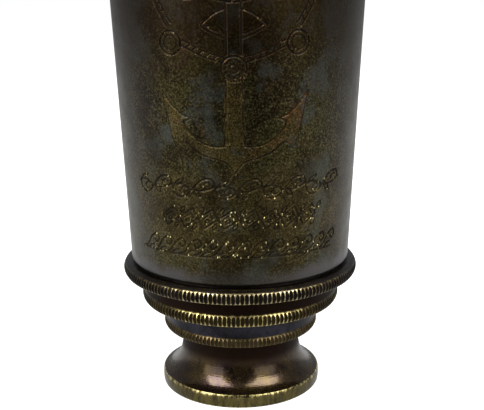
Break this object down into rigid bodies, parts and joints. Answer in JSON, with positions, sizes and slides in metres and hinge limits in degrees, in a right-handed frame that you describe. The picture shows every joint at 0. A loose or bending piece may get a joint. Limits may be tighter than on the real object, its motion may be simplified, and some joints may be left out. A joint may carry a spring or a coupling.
{
  "type": "pocket telescope",
  "caption": "Brass pocket telescope: a tapered engraved barrel with pull-out draw tubes, knurled rings, a flared eyepiece cup and a glass objective.",
  "frame": {"origin": "centre of the eyepiece rim's flat end, which the closed telescope stands on", "axes": "+Z along the optical axis from the eyepiece to the objective; +Y points from the engraved motif to the back of the barrel, so -Y is the engraved front"},
  "size_m": [0.0672, 0.0672, 0.1585],
  "materials": {
    "barrel_bronze": "antiqued dark bronze patina, engraved, satin",
    "knurled_bronze": "dark patina, knurl worn back to brass",
    "eyepiece_bronze": "turned brass, brown patina, polished by handling",
    "draw_bronze": "drawn brass tube, thin brown patina, rubbed along its length",
    "bare_brass": "turned brass, unlacquered",
    "blacked_brass": "chemically blacked, matt",
    "optical_glass": "polished"
  },
  "bodies": {
    "eyepiece_draw": {"eyepiece_draw_tube": "draw_bronze", "eyepiece_draw_stop_collar": "bare_brass", "eyepiece_cup": "eyepiece_bronze", "eyepiece_cell_tube": "blacked_brass", "eye_lens": "optical_glass", "eye_lens_retaining_ring": "blacked_brass", "field_stop": "blacked_brass", "field_lens": "optical_glass", "field_lens_retaining_ring": "blacked_brass", "erector_tube": "blacked_brass", "erector_rear_lens": "optical_glass", "erector_rear_retaining_ring": "blacked_brass", "erector_aperture_stop": "blacked_brass", "erector_front_lens": "optical_glass", "erector_front_retaining_ring": "blacked_brass"},
    "second_draw": {"second_draw_tube": "draw_bronze", "second_draw_ring": "knurled_bronze", "second_draw_guide_sleeve": "bare_brass", "second_draw_stop_collar": "bare_brass"},
    "first_draw": {"first_draw_tube": "draw_bronze", "first_draw_ring": "knurled_bronze", "first_draw_guide_sleeve": "bare_brass", "first_draw_stop_collar": "bare_brass"},
    "barrel": {"barrel_tube": "barrel_bronze", "barrel_tail_bush": "bare_brass", "barrel_tail_ring": "knurled_bronze", "barrel_guide_sleeve": "bare_brass", "barrel_mouth_bush": "bare_brass", "barrel_baffle": "blacked_brass", "objective_ring": "knurled_bronze", "objective_crown_lens": "optical_glass", "objective_flint_lens": "optical_glass", "objective_retaining_ring": "blacked_brass"}
  },
  "joints": [
    {"name": "second_draw_pull", "type": "slide", "parent": "eyepiece_draw", "child": "second_draw", "axis": [0, 0, 1], "range_m": [0, 0.0788]},
    {"name": "first_draw_pull", "type": "slide", "parent": "second_draw", "child": "first_draw", "axis": [0, 0, 1], "range_m": [0, 0.0778]},
    {"name": "barrel_pull", "type": "slide", "parent": "first_draw", "child": "barrel", "axis": [0, 0, 1], "range_m": [0, 0.077]}
  ]
}
